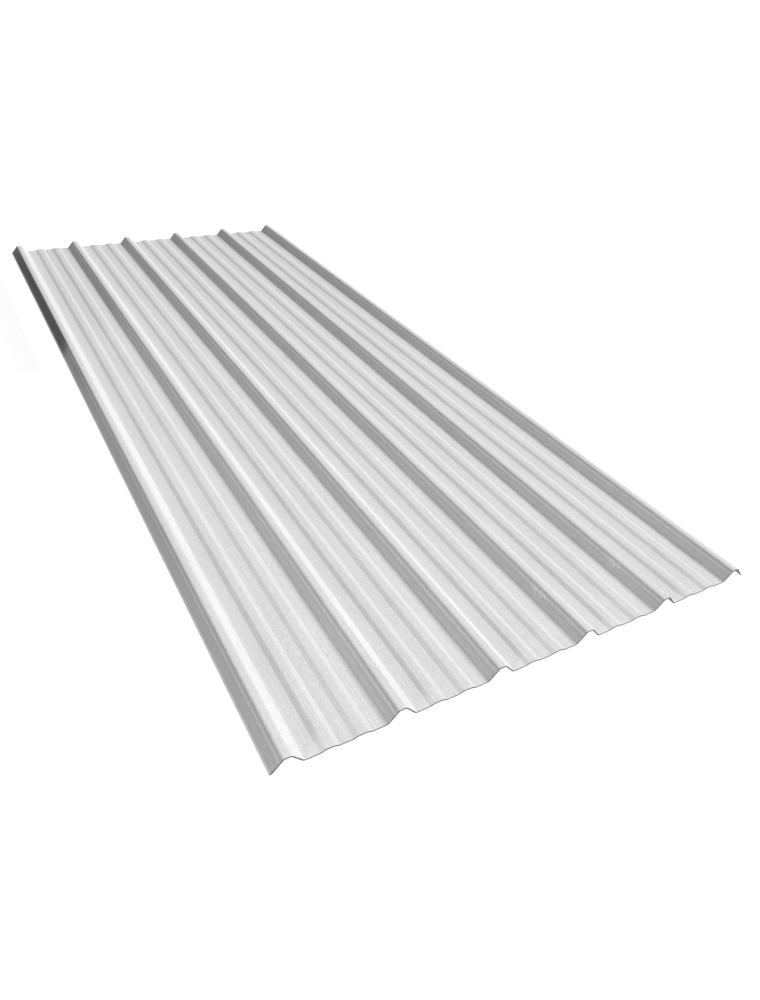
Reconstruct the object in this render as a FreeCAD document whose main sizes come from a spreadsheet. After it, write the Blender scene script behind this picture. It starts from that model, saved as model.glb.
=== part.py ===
import FreeCAD, Part
import os
import Sketcher

# A uPVC roofing sheet: one extruded sheet of even thickness with six tall ribs,
# five flat pans between them and two low stiffening swages in every pan.
# X runs across the sheet, Y along it and Z up. The origin is at the middle of the
# sheet, level with the underside of the pans, on which the sheet lies.
NODE = "roofing_sheet"

# Driving dimensions in millimetres. Widths and heights of ribs and swages belong
# to the upper face and run between the sharp corners before bending.
DIMENSIONS = {
    "pitch": 200,
    "pan_count": 5,
    "sheet_length": 2500,
    "wall": 2,
    "rib_depth": 25,
    "rib_base": 54,
    "rib_crown": 14,
    "side_lip": 3,
    "swage_rise": 3.5,
    "swage_base": 34,
    "swage_crown": 15,
    "swage_offset": 29,
    "crown_bend": 5,
    "foot_bend": 6,
}

# How far a corner of the lower face stands beside its corner of the upper face,
# so that the wall keeps its thickness on flats and flanks alike.
RIB_MITRE = (
    "dims.wall * tan(atan(2 * (dims.rib_depth - dims.wall)"
    " / (dims.rib_base - dims.rib_crown)) / 2)"
)
SWAGE_MITRE = (
    "dims.wall * tan(atan(2 * dims.swage_rise"
    " / (dims.swage_base - dims.swage_crown)) / 2)"
)

# Left foot of the first rib, and of the rib that closes the far side.
FIRST_FOOT = "-(dims.pan_count * dims.pitch + dims.rib_base) / 2"
LAST_FOOT = "(dims.pan_count * dims.pitch - dims.rib_base) / 2"

SAME_PLACE = 1e-6

doc = FreeCAD.newDocument("upvc_roofing_sheet")

dims = doc.addObject("Spreadsheet::Sheet", "dims")
for row, (name, value) in enumerate(DIMENSIONS.items(), start=1):
    dims.set(f"A{row}", name)
    dims.set(f"B{row}", str(value))
    dims.setAlias(f"B{row}", name)
doc.recompute()

body = doc.addObject("PartDesign::Body", "sheet_body")
body.Label = NODE
body.Placement = FreeCAD.Placement()
doc.recompute()


def origin_part(role):
    """The body's own origin plane or axis of that role."""
    return next(part for part in body.Origin.OriginFeatures if part.Role == role)


def hump(foot, base, crown, top, mitre):
    """Upper corners of one trapezoid from left to right, each with its mitre."""
    return [
        (foot, "dims.wall", f"+ {mitre}"),
        (f"{foot} + ({base} - {crown}) / 2", top, f"+ {mitre}"),
        (f"{foot} + ({base} + {crown}) / 2", top, f"- {mitre}"),
        (f"{foot} + {base}", "dims.wall", f"- {mitre}"),
    ]


def rib(foot):
    """Upper corners of a tall rib whose left foot is given."""
    return hump(foot, "dims.rib_base", "dims.rib_crown", "dims.rib_depth", RIB_MITRE)


def swages(foot):
    """Upper corners of both swages in the pan on the right of a rib."""
    top = "dims.wall + dims.swage_rise"
    corners = []
    for side in ("-", "+"):
        left = (
            f"{foot} + (dims.pitch + dims.rib_base - dims.swage_base) / 2"
            f" {side} dims.swage_offset"
        )
        corners += hump(left, "dims.swage_base", "dims.swage_crown", top, SWAGE_MITRE)
    return corners


def strip_outline(corners, left, right):
    """Closed outline of a strip of sheet: upper face rightwards, lower face back."""
    upper = [(left, "dims.wall")]
    upper += [(x, z) for x, z, mitre in corners]
    upper += [(right, "dims.wall")]
    lower = [(right, "")]
    for x, z, mitre in reversed(corners):
        lower.append((f"{x} {mitre}", "" if z == "dims.wall" else f"{z} - dims.wall"))
    lower.append((left, ""))
    return upper + lower


def draw(name, outline):
    """Sketch on the body's XZ plane with every corner held by the dimensions.

    A corner with no height lies on the resting level.
    """
    sketch = body.newObject("Sketcher::SketchObject", name)
    sketch.AttachmentSupport = (origin_part("XZ_Plane"), [""])
    sketch.MapMode = "FlatFace"
    places = [
        FreeCAD.Vector(dims.evalExpression(x), dims.evalExpression(z) if z else 0, 0)
        for x, z in outline
    ]
    for here, there in zip(places, places[1:] + places[:1]):
        sketch.addGeometry(Part.LineSegment(here, there), False)
    for line in range(len(places)):
        following = (line + 1) % len(places)
        sketch.addConstraint(Sketcher.Constraint("Coincident", line, 2, following, 1))
    for line, (place, (x, z)) in enumerate(zip(places, outline)):
        across = sketch.addConstraint(
            Sketcher.Constraint("DistanceX", -1, 1, line, 1, place.x)
        )
        sketch.setExpression(f"Constraints[{across}]", x)
        if z:
            height = sketch.addConstraint(
                Sketcher.Constraint("DistanceY", -1, 1, line, 1, place.y)
            )
            sketch.setExpression(f"Constraints[{height}]", z)
        else:
            sketch.addConstraint(Sketcher.Constraint("PointOnObject", line, 1, -1))
    return sketch


def extrude(name, sketch):
    """Pad a sketch over the sheet's length, half of it to each side."""
    pad = body.newObject("PartDesign::Pad", name)
    pad.Profile = sketch
    pad.Midplane = True
    pad.setExpression("Length", "dims.sheet_length")
    doc.recompute()
    return pad


def bend(name, levels, radius):
    """Round every lengthwise corner at these levels; the side edges stay square."""
    heights = [dims.evalExpression(level) for level in levels]
    side = dims.evalExpression(f"{LAST_FOOT} + dims.rib_base + dims.side_lip")
    length = dims.evalExpression("dims.sheet_length")
    sharp = body.Tip
    named = []
    for number, edge in enumerate(sharp.Shape.Edges, start=1):
        start = edge.Vertexes[0].Point
        along = abs(edge.Length - length) < SAME_PLACE
        inside = abs(abs(start.x) - side) > SAME_PLACE
        level = min(abs(start.z - height) for height in heights) < SAME_PLACE
        if along and inside and level:
            named.append(f"Edge{number}")
    fillet = body.newObject("PartDesign::Fillet", name)
    fillet.Base = (sharp, named)
    fillet.setExpression("Radius", radius)
    doc.recompute()
    print(name, len(named), "edges")


# One pitch of the sheet: a rib and the pan on its right. It starts and ends a
# lip's width before a rib, in flat sheet, and the first one's start is the
# sheet's own left lip.
one_pitch = draw(
    "one_pitch_section",
    strip_outline(
        rib(FIRST_FOOT) + swages(FIRST_FOOT),
        f"{FIRST_FOOT} - dims.side_lip",
        f"{FIRST_FOOT} + dims.pitch - dims.side_lip",
    ),
)
rib_and_pan = extrude("rib_and_pan", one_pitch)

# The same pitch again across the sheet.
across_sheet = body.newObject("PartDesign::LinearPattern", "pitches_across")
across_sheet.Originals = [rib_and_pan]
across_sheet.Direction = (origin_part("X_Axis"), [""])
across_sheet.Mode = "Spacing"
across_sheet.setExpression("Offset", "dims.pitch")
across_sheet.setExpression("Occurrences", "dims.pan_count")
doc.recompute()
body.Tip = across_sheet
doc.recompute()

# The last rib has no pan behind it, only the right lip.
closing_section = draw(
    "closing_section",
    strip_outline(
        rib(LAST_FOOT),
        f"{LAST_FOOT} - dims.side_lip",
        f"{LAST_FOOT} + dims.rib_base + dims.side_lip",
    ),
)
closing_rib = extrude("closing_rib", closing_section)

# Bends keep the wall's thickness: the inside of a bend has the bend's radius, and
# the outside has that and one wall more. At a crown the upper face is outside, and
# at a foot the lower face is. The ribs' crowns have a radius of their own, and the
# swages' crowns share the feet's.
bend("crown_outsides", ["dims.rib_depth"], "dims.crown_bend + dims.wall")
bend("crown_insides", ["dims.rib_depth - dims.wall"], "dims.crown_bend")
bend("foot_outsides", ["0", "dims.wall + dims.swage_rise"], "dims.foot_bend + dims.wall")
bend("foot_insides", ["dims.wall", "dims.swage_rise"], "dims.foot_bend")
doc.recompute()

for obj in doc.Objects:
    if "Invalid" in obj.State or "Error" in obj.State:
        raise RuntimeError(f"{obj.Name} failed: {obj.State}")
shape = body.Shape
if shape.isNull() or not shape.isValid():
    raise RuntimeError("the sheet's shape is not valid")

os.makedirs("parts", exist_ok=True)
shape.exportStep(f"parts/{body.Label}.step")
box = shape.BoundBox
print(NODE, "solids", len(shape.Solids), "faces", len(shape.Faces))
print("size", box.XLength, box.YLength, box.ZLength, "lowest", box.ZMin)
print("volume in litres", shape.Volume / 1e6)
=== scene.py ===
# %% [markdown]
# # A uPVC roofing sheet
# Extruded roofing is one long ribbon of plastic with the same section from end to
# end. The CAD model gives its size, pitch and place. This script loads that frame,
# models the sheet again as a fine mesh with its real bends, sawn ends and slightly
# uneven pans, gives it a matt embossed PVC finish, and lays it on a pale floor.

# %% Load the frame
import math

import bmesh
import bpy
from mathutils import Matrix, Vector


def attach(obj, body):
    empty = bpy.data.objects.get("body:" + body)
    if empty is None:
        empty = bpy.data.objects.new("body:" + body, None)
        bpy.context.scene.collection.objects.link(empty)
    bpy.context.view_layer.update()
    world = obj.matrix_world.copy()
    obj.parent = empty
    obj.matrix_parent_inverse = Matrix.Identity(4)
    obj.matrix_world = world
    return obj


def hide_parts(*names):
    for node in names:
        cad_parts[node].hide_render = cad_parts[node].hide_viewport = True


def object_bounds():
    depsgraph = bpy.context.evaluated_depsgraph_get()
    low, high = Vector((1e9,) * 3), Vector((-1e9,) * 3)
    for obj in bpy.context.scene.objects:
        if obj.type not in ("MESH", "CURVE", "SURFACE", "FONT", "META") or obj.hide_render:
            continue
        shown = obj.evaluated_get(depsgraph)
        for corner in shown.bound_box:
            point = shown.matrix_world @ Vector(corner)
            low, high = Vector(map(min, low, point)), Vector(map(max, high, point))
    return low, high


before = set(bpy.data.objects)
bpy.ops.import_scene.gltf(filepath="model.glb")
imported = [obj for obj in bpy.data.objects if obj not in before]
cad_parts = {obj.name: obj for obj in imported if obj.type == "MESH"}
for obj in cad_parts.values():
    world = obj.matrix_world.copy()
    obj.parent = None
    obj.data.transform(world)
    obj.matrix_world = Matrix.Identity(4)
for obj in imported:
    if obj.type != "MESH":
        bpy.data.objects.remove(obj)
low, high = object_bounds()
print("CAD box in mm:", [round(1000 * side) for side in high - low])

# %% [markdown]
# ## Measures of the profile
# A roofer names a profile by its pitch, its depth and its cover. They are the
# driving values here too, and every other place is worked out from them. Only the
# overall sizes come from the CAD box, so the two models stay one size.

# %% Profile
MM = 0.001
WALL = 2 * MM
PITCH = 200 * MM
RIB_COUNT = 6
RIB_BASE = 54 * MM
RIB_CROWN = 14 * MM
SIDE_LIP = 3 * MM
SWAGE_RISE = 3.5 * MM
SWAGE_BASE = 34 * MM
SWAGE_CROWN = 15 * MM
SWAGE_OFFSET = 29 * MM
CROWN_BEND = 5 * MM
FOOT_BEND = 6 * MM

left_edge, right_edge = low.x, high.x
near_end, far_end = low.y, high.y
length = far_end - near_end
rib_depth = high.z - low.z
rib_rise = rib_depth - WALL
first_foot = left_edge + SIDE_LIP
print("length", round(length, 3), "first foot at", round(first_foot, 4))

# %% [markdown]
# ## Working in edit mode
# By hand one would click edges with the mouse. In code an edge is known by its
# place, so one helper selects edges by a test on their two ends, and the usual
# tools then act on the selection.

# %% Select edges by their place
NEAR_ENOUGH = 0.01 * MM


def select_edges(piece, wanted):
    """Select the edges of a piece in edit mode whose two ends pass a test together."""
    bpy.ops.mesh.select_mode(type="EDGE")
    bpy.ops.mesh.select_all(action="DESELECT")
    shape = bmesh.from_edit_mesh(piece.data)
    chosen = [edge for edge in shape.edges if wanted(edge.verts[0].co, edge.verts[1].co)]
    for edge in chosen:
        edge.select_set(True)
    bmesh.update_edit_mesh(piece.data)
    return len(chosen)


def lengthwise_at(places):
    """A test for edges that run along the sheet at any of these places across it."""

    def wanted(one, other):
        along = abs(one.x - other.x) < NEAR_ENOUGH and abs(one.z - other.z) < NEAR_ENOUGH
        return along and any(abs(one.x - place) < NEAR_ENOUGH for place in places)

    return wanted


# %% [markdown]
# ## Fold one pitch
# The die gives the sheet its section, but as a shape it is a ribbon folded along
# its length: up the rib, over its crown, down, across the pan and over two low
# swages. So the first narrow strip, the left lip, is added as a grid and its free
# edge is extruded from corner to corner. The grid's cells along the sheet are kept
# by every extrusion, and let the finished sheet flex a little.

# %% Lip strip
LENGTH_CELLS = 40

bpy.ops.object.select_all(action="DESELECT")
bpy.ops.mesh.primitive_grid_add(x_subdivisions=1, y_subdivisions=LENGTH_CELLS, size=1)
sheet = bpy.context.object
sheet.name = "ribbed_upvc_sheet"
sheet.data.name = sheet.name
bpy.ops.object.mode_set(mode="EDIT")
bpy.ops.transform.resize(value=(SIDE_LIP, length, 1))
lip_middle = (left_edge + SIDE_LIP / 2, (near_end + far_end) / 2, low.z + WALL)
bpy.ops.transform.translate(value=lip_middle)

# %% Fold over the rib, the pan and its swages
rib_run = (RIB_BASE - RIB_CROWN) / 2
swage_run = (SWAGE_BASE - SWAGE_CROWN) / 2
outer_land = (PITCH - RIB_BASE) / 2 - SWAGE_OFFSET - SWAGE_BASE / 2
middle_land = 2 * SWAGE_OFFSET - SWAGE_BASE

rib_folds = [(rib_run, rib_rise), (RIB_CROWN, 0), (rib_run, -rib_rise)]
swage_folds = [(swage_run, SWAGE_RISE), (SWAGE_CROWN, 0), (swage_run, -SWAGE_RISE)]
pan_folds = (
    [(outer_land, 0)]
    + swage_folds
    + [(middle_land, 0)]
    + swage_folds
    + [(outer_land - SIDE_LIP, 0)]
)

select_edges(sheet, lengthwise_at([first_foot]))
for across, up in rib_folds + pan_folds:
    bpy.ops.mesh.extrude_region_move(TRANSFORM_OT_translate={"value": (across, 0, up)})
print("strips in one pitch:", len(rib_folds + pan_folds) + 1)

# %% [markdown]
# ## Round the bends
# uPVC is never folded sharp. The inside of every bend has one radius, and the
# outside has that and the wall's thickness. This mesh is the upper face, which is
# outside at a crown and inside at a foot. A bevel is asked for by how far it
# reaches along the flats, which is the radius times the tangent of half the turn.

# %% Bend radii
RIB_ARC_STEPS = 8
SWAGE_ARC_STEPS = 5

rib_turn = math.atan2(rib_rise, rib_run)
swage_turn = math.atan2(SWAGE_RISE, swage_run)
pan_middle = first_foot + (RIB_BASE + PITCH) / 2


def both_sides(middle, half_width):
    """Two places the same distance to the left and right of a middle."""
    return [middle - half_width, middle + half_width]


def round_bends(places, radius, turn, steps):
    """Bevel the lengthwise folds at these places into arcs of a radius."""
    count = select_edges(sheet, lengthwise_at(places))
    reach = radius * math.tan(turn / 2)
    bpy.ops.mesh.bevel(offset=reach, segments=steps, affect="EDGES")
    print(f"{count} edges bent to {radius / MM:.0f} mm, {reach / MM:.2f} mm along the flat")


rib_middle = first_foot + RIB_BASE / 2
round_bends(both_sides(rib_middle, RIB_CROWN / 2), CROWN_BEND + WALL, rib_turn, RIB_ARC_STEPS)
round_bends(both_sides(rib_middle, RIB_BASE / 2), FOOT_BEND, rib_turn, RIB_ARC_STEPS)
for swage_middle in both_sides(pan_middle, SWAGE_OFFSET):
    crowns = both_sides(swage_middle, SWAGE_CROWN / 2)
    feet = both_sides(swage_middle, SWAGE_BASE / 2)
    round_bends(crowns, FOOT_BEND + WALL, swage_turn, SWAGE_ARC_STEPS)
    round_bends(feet, FOOT_BEND, swage_turn, SWAGE_ARC_STEPS)
bpy.ops.object.mode_set(mode="OBJECT")

# %% [markdown]
# ## Repeat the pitch and trim the sheet
# An array sets one pitch beside the next and merges their shared edge. Six
# pitches are one pan too many, so the sheet is cut on the line of the right lip,
# as a trimming saw would, and ends in a whole rib on both sides.

# %% Array and trim
array = sheet.modifiers.new("pitches_across", "ARRAY")
array.count = RIB_COUNT
array.use_relative_offset = False
array.use_constant_offset = True
array.constant_offset_displace = (PITCH, 0, 0)
array.use_merge_vertices = True
array.merge_threshold = NEAR_ENOUGH
bpy.ops.object.modifier_apply(modifier=array.name)

bpy.ops.object.mode_set(mode="EDIT")
bpy.ops.mesh.select_all(action="SELECT")
bpy.ops.mesh.bisect(plane_co=(right_edge, 0, 0), plane_no=(1, 0, 0), clear_outer=True)
bpy.ops.object.mode_set(mode="OBJECT")
upward = sum(face.normal.z for face in sheet.data.polygons)
print("faces in the upper skin:", len(sheet.data.polygons), "facing up:", upward > 0)

# %% [markdown]
# ## A little slack, a wall and broken edges
# A thin plastic sheet never lies dead flat: over a metre or so it rises and falls
# by a fraction of a millimetre, and that is what makes its reflections wander. The
# wall is then given its thickness downwards, and the sawn arrises are broken.

# %% Flex
FLEX_HEIGHT = 0.8 * MM
FLEX_LENGTH = 0.45
FLEX_MIDDLE = 0.5

slack = bpy.data.textures.new("slack_in_the_sheet", "CLOUDS")
slack.noise_scale = FLEX_LENGTH
flex = sheet.modifiers.new("flex", "DISPLACE")
flex.texture = slack
flex.texture_coords = "LOCAL"
flex.direction = "Z"
flex.mid_level = FLEX_MIDDLE
flex.strength = FLEX_HEIGHT
bpy.ops.object.modifier_apply(modifier=flex.name)

# %% Wall and arrises
ARRIS = 0.2 * MM
ARRIS_ANGLE = math.radians(60)
SMOOTH_ANGLE = math.radians(35)

wall = sheet.modifiers.new("wall", "SOLIDIFY")
wall.thickness = WALL
wall.offset = -1
wall.use_even_offset = True
bpy.ops.object.modifier_apply(modifier=wall.name)

arris = sheet.modifiers.new("broken_arris", "BEVEL")
arris.width = ARRIS
arris.segments = 1
arris.limit_method = "ANGLE"
arris.angle_limit = ARRIS_ANGLE
bpy.ops.object.modifier_apply(modifier=arris.name)
bpy.ops.object.shade_smooth_by_angle(angle=SMOOTH_ANGLE)

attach(sheet, "root")
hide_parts("roofing_sheet")
sheet.data.calc_loop_triangles()
print("triangles in the sheet:", len(sheet.data.loop_triangles))

# %% [markdown]
# ## Nodes and colours
# Colours are written as sRGB hex, as a paint card gives them, and turned to the
# linear values that a renderer works in. One small function adds any node with its
# settings and links, and gives back the output that the next node is linked to.
#
# A noise texture has no size of its own, so its scale is one over the grain's real
# size in metres. Its values lie mostly between 0.3 and 0.7, and every tone made
# from a noise is mapped from that span.

# %% Colour and node helpers


def linear(hex_colour):
    """An sRGB hex colour as linear red, green, blue and alpha."""
    coded = [int(hex_colour[start : start + 2], 16) / 255 for start in (1, 3, 5)]
    colour = [
        part / 12.92 if part <= 0.04045 else ((part + 0.055) / 1.055) ** 2.4
        for part in coded
    ]
    return colour + [1]


def socket_named(sockets, name):
    """A socket by number or name. Of several with one name, the one in use."""
    if isinstance(name, int):
        return sockets[name]
    return next(socket for socket in sockets if socket.name == name and socket.enabled)


def add(tree, kind, output, inputs, **settings):
    """Add a node with its settings and links.

    The inputs are plain values or other outputs, either by name or as a list in the
    order of the node's sockets.
    """
    made = tree.nodes.new(kind)
    for name, value in settings.items():
        setattr(made, name, value)
    named = inputs.items() if isinstance(inputs, dict) else enumerate(inputs)
    for name, value in named:
        socket = socket_named(made.inputs, name)
        if isinstance(value, bpy.types.NodeSocket):
            tree.links.new(value, socket)
        else:
            socket.default_value = value
    return socket_named(made.outputs, output) if output else made


def new_tree(owner):
    """The empty node tree of a new material or world."""
    owner.use_nodes = True
    owner.node_tree.nodes.clear()
    return owner.node_tree


NOISE_SPAN = (0.3, 0.7)
FINE_DETAIL = 2.0

# %% [markdown]
# ## Painted shade and highlight on the flanks
# Lines of tone along the ribs' flanks stand in for light and shade. A dark one at the
# foot and a faint one half way are painted shade, a light one below the shoulder is a
# painted highlight, and a dark one just below the shoulder is painted shade. Every rib
# has the same, so the place across the sheet is folded into one pitch and compared with
# each line's own place.
# Finer lines of all strengths come from a noise drawn out along the sheet.

# %% Painted shade and highlight on the flanks
# Place from the rib's foot, half width and change of tone: below 0 is painted shade, above 0
# a painted highlight.
FLANK_SHADE_AND_HIGHLIGHT_LINES = [
    (1 * MM, 2.5 * MM, -0.12),
    (10 * MM, 2 * MM, -0.06),
    (14 * MM, 2 * MM, 0.22),
    (17.5 * MM, 2 * MM, -0.12),
]
DRAW_LINE_SIZE = (2.2 * MM, 900 * MM, 2.2 * MM)
DRAW_LINE_TONE = (0.95, 1.05)


def painted_flank_shading(tree, across):
    """A tone of 1 but for the lines: painted shade darker, painted highlight lighter."""
    inputs = [across, first_foot - PITCH]
    from_foot = add(tree, "ShaderNodeMath", "Value", inputs, operation="SUBTRACT")
    inputs = [from_foot, PITCH]
    in_pitch = add(tree, "ShaderNodeMath", "Value", inputs, operation="MODULO")
    tone = 1.0
    for place, half_width, strength in FLANK_SHADE_AND_HIGHLIGHT_LINES:
        inputs = [in_pitch, place]
        beside = add(tree, "ShaderNodeMath", "Value", inputs, operation="SUBTRACT")
        away = add(tree, "ShaderNodeMath", "Value", [beside], operation="ABSOLUTE")
        inputs = [away, 0, half_width, strength, 0]
        line = add(
            tree, "ShaderNodeMapRange", "Result", inputs, interpolation_type="SMOOTHSTEP"
        )
        tone = add(tree, "ShaderNodeMath", "Value", [tone, line], operation="ADD")
    return tone


# %% [markdown]
# ## Two scuffs
# The flanks of two ribs are rubbed near the near end, where a sheet is gripped and
# slid off the stack. Each scuff is a long soft spot, and a finer noise breaks it up
# into scratches.

# %% Scuffs
SCUFF_SIZE = (9 * MM, 34 * MM, 9 * MM)
SCUFF_MIDDLES = [(0.088, -1.122, 0.014), (0.288, -1.116, 0.014)]
SCUFF_SPOT = (0.2, 1)
SCUFF_GRAIN = 8 * MM
SCUFF_DETAIL = 4.0
SCRATCH_SPAN = (0.38, 0.58)
SCUFF_LIGHTER = 0.35


def scuffs(tree, place):
    """A tone that is 1 but for the scuffs, which are lighter."""
    inputs = {"Vector": place, "Scale": 1 / SCUFF_GRAIN, "Detail": SCUFF_DETAIL}
    grain = add(tree, "ShaderNodeTexNoise", "Fac", inputs)
    inputs = [grain, *SCRATCH_SPAN, 0, SCUFF_LIGHTER]
    scratched = add(tree, "ShaderNodeMapRange", "Result", inputs)
    tone = 1.0
    for middle in SCUFF_MIDDLES:
        inputs = [place, middle]
        offset = add(tree, "ShaderNodeVectorMath", "Vector", inputs, operation="SUBTRACT")
        inputs = {"Vector": offset, "Scale": [1 / size for size in SCUFF_SIZE]}
        in_scuffs = add(tree, "ShaderNodeMapping", "Vector", inputs)
        away = add(tree, "ShaderNodeVectorMath", "Value", [in_scuffs], operation="LENGTH")
        inputs = [away, *SCUFF_SPOT, 1, 0]
        spot = add(
            tree, "ShaderNodeMapRange", "Result", inputs, interpolation_type="SMOOTHSTEP"
        )
        inputs = [spot, scratched, tone]
        tone = add(tree, "ShaderNodeMath", "Value", inputs, operation="MULTIPLY_ADD")
    return tone


# %% [markdown]
# ## Extruded rigid PVC, matt embossed
# The sheet is rigid PVC with a filler and a light grey pigment, drawn over a fine
# embossing roll. The eye gets a soft sheen with a fine stipple and slow cloudy
# changes of tone. The two sawn end faces are coloured near black, a painted shade
# that makes them read as a dark line.

# %% PVC material
PVC_GREY = "#D8D8D8"
END_FACE_PAINTED_SHADE = "#202020"
# The two end faces are coloured near black: painted shade, not the plastic's own colour.
STIPPLE = 2.5 * MM
STIPPLE_TONE = (0.90, 1.06)
STIPPLE_DEPTH = 0.25 * MM
STIPPLE_RELIEF = 0.5
DRAW_LINE_DEPTH = 0.2 * MM
DRAW_LINE_RELIEF = 0.4
MOTTLE = 8 * MM
MOTTLE_TONE = (0.965, 1.035)
CLOUD = 160 * MM
CLOUD_TONE = (0.98, 1.02)
CLOUD_DETAIL = 3.0
END_FACE_SHADE_DEPTH = 2 * ARRIS
SHEEN = (0.42, 0.52)
PVC_INDEX = 1.53
MATT_SPECULAR = 0.15


def extruded_pvc():
    """Light grey rigid PVC with a stippled face and faint lines along the draw."""
    material = bpy.data.materials.new("extruded_rigid_pvc_matt_embossed")
    tree = new_tree(material)
    place = add(tree, "ShaderNodeTexCoord", "Object", {})
    parts = add(tree, "ShaderNodeSeparateXYZ", None, {"Vector": place})

    inputs = {"Vector": place, "Scale": [1 / size for size in DRAW_LINE_SIZE]}
    drawn_out = add(tree, "ShaderNodeMapping", "Vector", inputs)
    stipple, lines, mottle, cloud = [
        add(
            tree,
            "ShaderNodeTexNoise",
            "Fac",
            {"Vector": where, "Scale": 1 / size, "Detail": detail},
        )
        for where, size, detail in (
            (place, STIPPLE, FINE_DETAIL),
            (drawn_out, 1, FINE_DETAIL),
            (place, MOTTLE, FINE_DETAIL),
            (place, CLOUD, CLOUD_DETAIL),
        )
    ]

    # The flanks' painted shade and highlight lines start the colour's tone.
    tone = painted_flank_shading(tree, parts.outputs["X"])
    for pattern, span in (
        (stipple, STIPPLE_TONE),
        (lines, DRAW_LINE_TONE),
        (mottle, MOTTLE_TONE),
        (cloud, CLOUD_TONE),
    ):
        inputs = [pattern, *NOISE_SPAN, *span]
        change = add(tree, "ShaderNodeMapRange", "Result", inputs)
        tone = add(tree, "ShaderNodeMath", "Value", [tone, change], operation="MULTIPLY")
    inputs = [tone, scuffs(tree, place)]
    tone = add(tree, "ShaderNodeMath", "Value", inputs, operation="MULTIPLY")
    inputs = {0: linear(PVC_GREY)[:3], "Scale": tone}
    face = add(tree, "ShaderNodeVectorMath", "Vector", inputs, operation="SCALE")

    # A thin band at each end of the length takes the near-black painted shade.
    inputs = [parts.outputs["Y"]]
    from_middle = add(tree, "ShaderNodeMath", "Value", inputs, operation="ABSOLUTE")
    inputs = [from_middle, length / 2 - END_FACE_SHADE_DEPTH]
    painted_end_shade = add(tree, "ShaderNodeMath", "Value", inputs, operation="GREATER_THAN")
    inputs = {"Factor": painted_end_shade, "A": face, "B": linear(END_FACE_PAINTED_SHADE)}
    colour = add(tree, "ShaderNodeMix", "Result", inputs, data_type="RGBA")

    inputs = {"Height": stipple, "Strength": STIPPLE_RELIEF, "Distance": STIPPLE_DEPTH}
    stippled = add(tree, "ShaderNodeBump", "Normal", inputs)
    inputs = {
        "Height": lines,
        "Strength": DRAW_LINE_RELIEF,
        "Distance": DRAW_LINE_DEPTH,
        "Normal": stippled,
    }
    lined = add(tree, "ShaderNodeBump", "Normal", inputs)
    sheen = add(tree, "ShaderNodeMapRange", "Result", [lines, *NOISE_SPAN, *SHEEN])
    inputs = {
        "Base Color": colour,
        "Roughness": sheen,
        "IOR": PVC_INDEX,
        "Specular IOR Level": MATT_SPECULAR,
        "Normal": lined,
    }
    surface = add(tree, "ShaderNodeBsdfPrincipled", "BSDF", inputs)
    add(tree, "ShaderNodeOutputMaterial", None, {"Surface": surface})
    return material


sheet.data.materials.clear()
sheet.data.materials.append(extruded_pvc())
print("material:", sheet.data.materials[0].name, "slots:", len(sheet.data.materials))

# %% [markdown]
# ## Floor and backdrop
# The floor is plain and pale, and stands for a white sweep. The camera, and any
# shine or clear piece, sees it near white with the sheet's soft shadow. The same
# floor gives other rays much less, or it would light the sheet's dark flanks.

# %% Floor
FLOOR_SIZE = 120.0
FLOOR_GREY = "#8C8C8C"
FLOOR_GLOW = 0.95
FLOOR_UNSEEN_GREY = "#5A5A5A"
WHITE = "#FFFFFF"


def seen_directly(tree):
    """1 for what the camera sees, straight or in a shine or through a clear piece."""
    rays = add(tree, "ShaderNodeLightPath", None, {})
    seen = rays.outputs["Is Camera Ray"]
    for kind in ("Glossy", "Transmission"):
        inputs = [seen, rays.outputs[f"Is {kind} Ray"]]
        seen = add(tree, "ShaderNodeMath", "Value", inputs, operation="MAXIMUM")
    return seen


def pale_floor():
    """A pale floor that the camera sees near white and that still takes a shadow."""
    material = bpy.data.materials.new("pale_studio_floor")
    tree = new_tree(material)
    matt = add(tree, "ShaderNodeBsdfDiffuse", "BSDF", {"Color": linear(FLOOR_GREY)})
    inputs = {"Color": linear(WHITE), "Strength": FLOOR_GLOW}
    glow = add(tree, "ShaderNodeEmission", "Emission", inputs)
    bright = add(tree, "ShaderNodeAddShader", "Shader", [matt, glow])
    dim = add(tree, "ShaderNodeBsdfDiffuse", "BSDF", {"Color": linear(FLOOR_UNSEEN_GREY)})
    inputs = [seen_directly(tree), dim, bright]
    mixed = add(tree, "ShaderNodeMixShader", "Shader", inputs)
    add(tree, "ShaderNodeOutputMaterial", None, {"Surface": mixed})
    return material


bpy.ops.object.select_all(action="DESELECT")
bpy.ops.mesh.primitive_plane_add(size=FLOOR_SIZE, location=(0, 0, low.z))
floor = bpy.context.object
floor.name = "studio_floor"
floor.data.materials.append(pale_floor())
print("floor at", floor.location.z)

# %% [markdown]
# ## Backdrop
# Beyond the floor the camera sees plain white. All other rays get a very little
# light from every side, as from a studio's walls, so no shadow is quite black.

# %% World
BACKDROP_SEEN = 1.0
ROOM_LIGHT = 0.01

world = bpy.data.worlds.new("studio_backdrop")
bpy.context.scene.world = world
tree = new_tree(world)
inputs = {"Color": linear(WHITE), "Strength": ROOM_LIGHT}
room = add(tree, "ShaderNodeBackground", "Background", inputs)
inputs = {"Color": linear(WHITE), "Strength": BACKDROP_SEEN}
sweep = add(tree, "ShaderNodeBackground", "Background", inputs)
inputs = [seen_directly(tree), room, sweep]
backdrop = add(tree, "ShaderNodeMixShader", "Shader", inputs)
add(tree, "ShaderNodeOutputWorld", None, {"Surface": backdrop})

# %% [markdown]
# ## Lamps
# Light from the right, rather low, is what shows a profile: it draws a bright line
# on every slope that faces right and leaves the others dark. The key is a wide soft
# sun. A weak lamp far to the left opens the dark flanks, more at the near end than
# at the far one, and a soft top lifts the pans at the near end a little.

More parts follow.
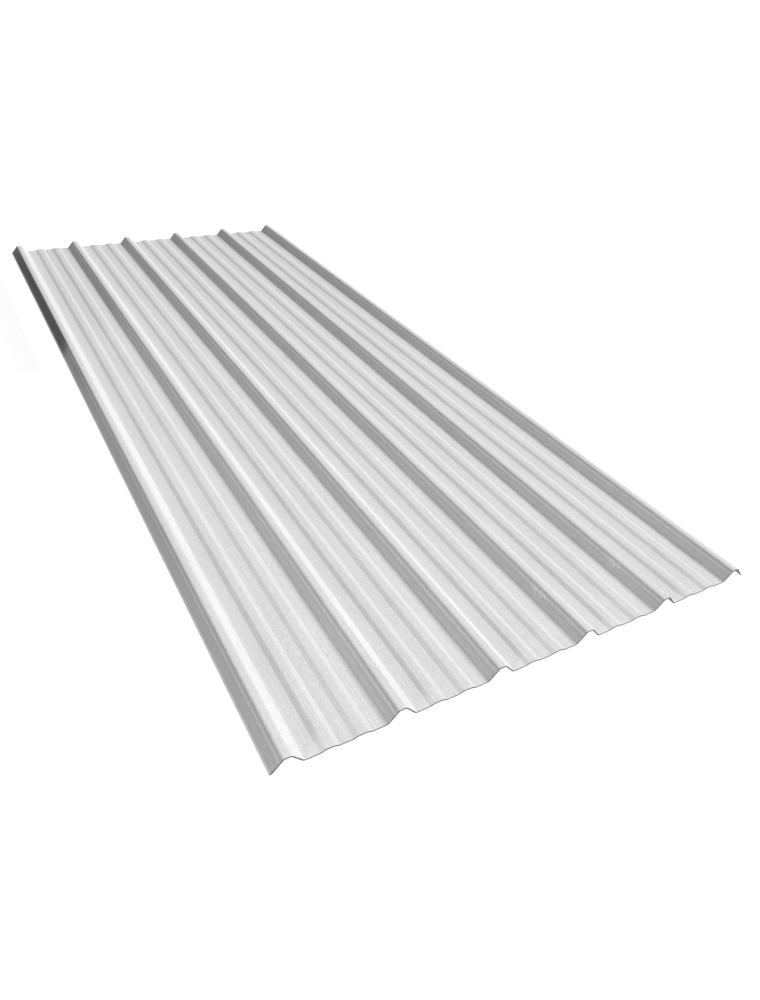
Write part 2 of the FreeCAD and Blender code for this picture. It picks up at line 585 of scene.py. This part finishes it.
# %% Lamps
KEY_FROM = Vector((0.70, -0.05, 0.71))
KEY_TARGET = Vector((0, 0, 0))
KEY_STRENGTH = 3.6
KEY_SOFTNESS = math.radians(25)
FILL_PLACE = Vector((-3.0, -2.9, 0.7))
FILL_TARGET = Vector((0, -0.4, 0))
FILL_WATTS = 56
FILL_SIZE = (1.5, 0.8)
TOP_PLACE = Vector((0.2, -1.0, 2.2))
TOP_TARGET = Vector((0.2, -1.0, 0))
TOP_WATTS = 9
TOP_SIZE = (1.5, 1.5)


def lamp(name, kind, place, target, energy):
    """A lamp at a place that shines at a target."""
    aim = (place - target).to_track_quat("Z", "Y").to_euler()
    bpy.ops.object.light_add(type=kind, location=place, rotation=aim)
    made = bpy.context.object
    made.name = name
    made.data.energy = energy
    return made.data


def soft_box(name, place, target, watts, size):
    """A rectangular lamp of a size."""
    made = lamp(name, "AREA", place, target, watts)
    made.shape = "RECTANGLE"
    made.size, made.size_y = size


key = lamp("key_from_the_right", "SUN", KEY_FROM, KEY_TARGET, KEY_STRENGTH)
key.angle = KEY_SOFTNESS
soft_box("fill_from_the_far_left", FILL_PLACE, FILL_TARGET, FILL_WATTS, FILL_SIZE)
soft_box("soft_top_over_the_near_end", TOP_PLACE, TOP_TARGET, TOP_WATTS, TOP_SIZE)
print("lamps:", len(bpy.data.lights))

# %% [markdown]
# ## A black flag
# The outermost flank falls almost to black towards the far end. In a studio that is
# done with a flag: a low black card close to the sheet, out of shot, that holds the
# fill and the floor's light off that stretch. The camera doesn't see the card.

# %% Flag
FLAG_PLACE = (-0.60, 0.80, 0.045)
FLAG_LENGTH = 1.2
FLAG_HEIGHT = 0.09
FLAG_UPRIGHT = (0, math.pi / 2, 0)
FLAG_BLACK = "#050505"

bpy.ops.mesh.primitive_plane_add(size=1, location=FLAG_PLACE, rotation=FLAG_UPRIGHT)
flag = bpy.context.object
flag.name = "black_flag"
flag.scale = (FLAG_HEIGHT, FLAG_LENGTH, 1)
flag.visible_camera = False
felt = bpy.data.materials.new("black_felt")
tree = new_tree(felt)
black = add(tree, "ShaderNodeBsdfDiffuse", "BSDF", {"Color": linear(FLAG_BLACK)})
add(tree, "ShaderNodeOutputMaterial", None, {"Surface": black})
flag.data.materials.append(felt)
print("flag starts at y =", round(FLAG_PLACE[1] - FLAG_LENGTH / 2, 2), "m")

# %% [markdown]
# ## Camera
# The camera stands a metre above the floor off the sheet's near left corner and
# looks down along it with a fairly wide lens, a little out of level. The near end
# comes out large and the far end small, as to someone standing at the sheet's corner.

# %% Camera
CAMERA_PLACE = (-0.7724, -1.8749, 0.9886)
CAMERA_HEADING = math.radians(-32.267)
CAMERA_UP_FROM_PLUMB = math.radians(54.4)
CAMERA_ROLL = math.radians(4.884)
CAMERA_LENS = 27.0
CAMERA_REACH = 200

bpy.ops.object.camera_add()
camera = bpy.context.object
camera.name = "camera"
camera.matrix_world = (
    Matrix.Translation(CAMERA_PLACE)
    @ Matrix.Rotation(CAMERA_HEADING, 4, "Z")
    @ Matrix.Rotation(CAMERA_UP_FROM_PLUMB, 4, "X")
    @ Matrix.Rotation(CAMERA_ROLL, 4, "Z")
)
camera.data.lens = CAMERA_LENS
camera.data.clip_end = CAMERA_REACH
bpy.context.scene.camera = camera
bpy.context.scene.view_settings.view_transform = "Standard"
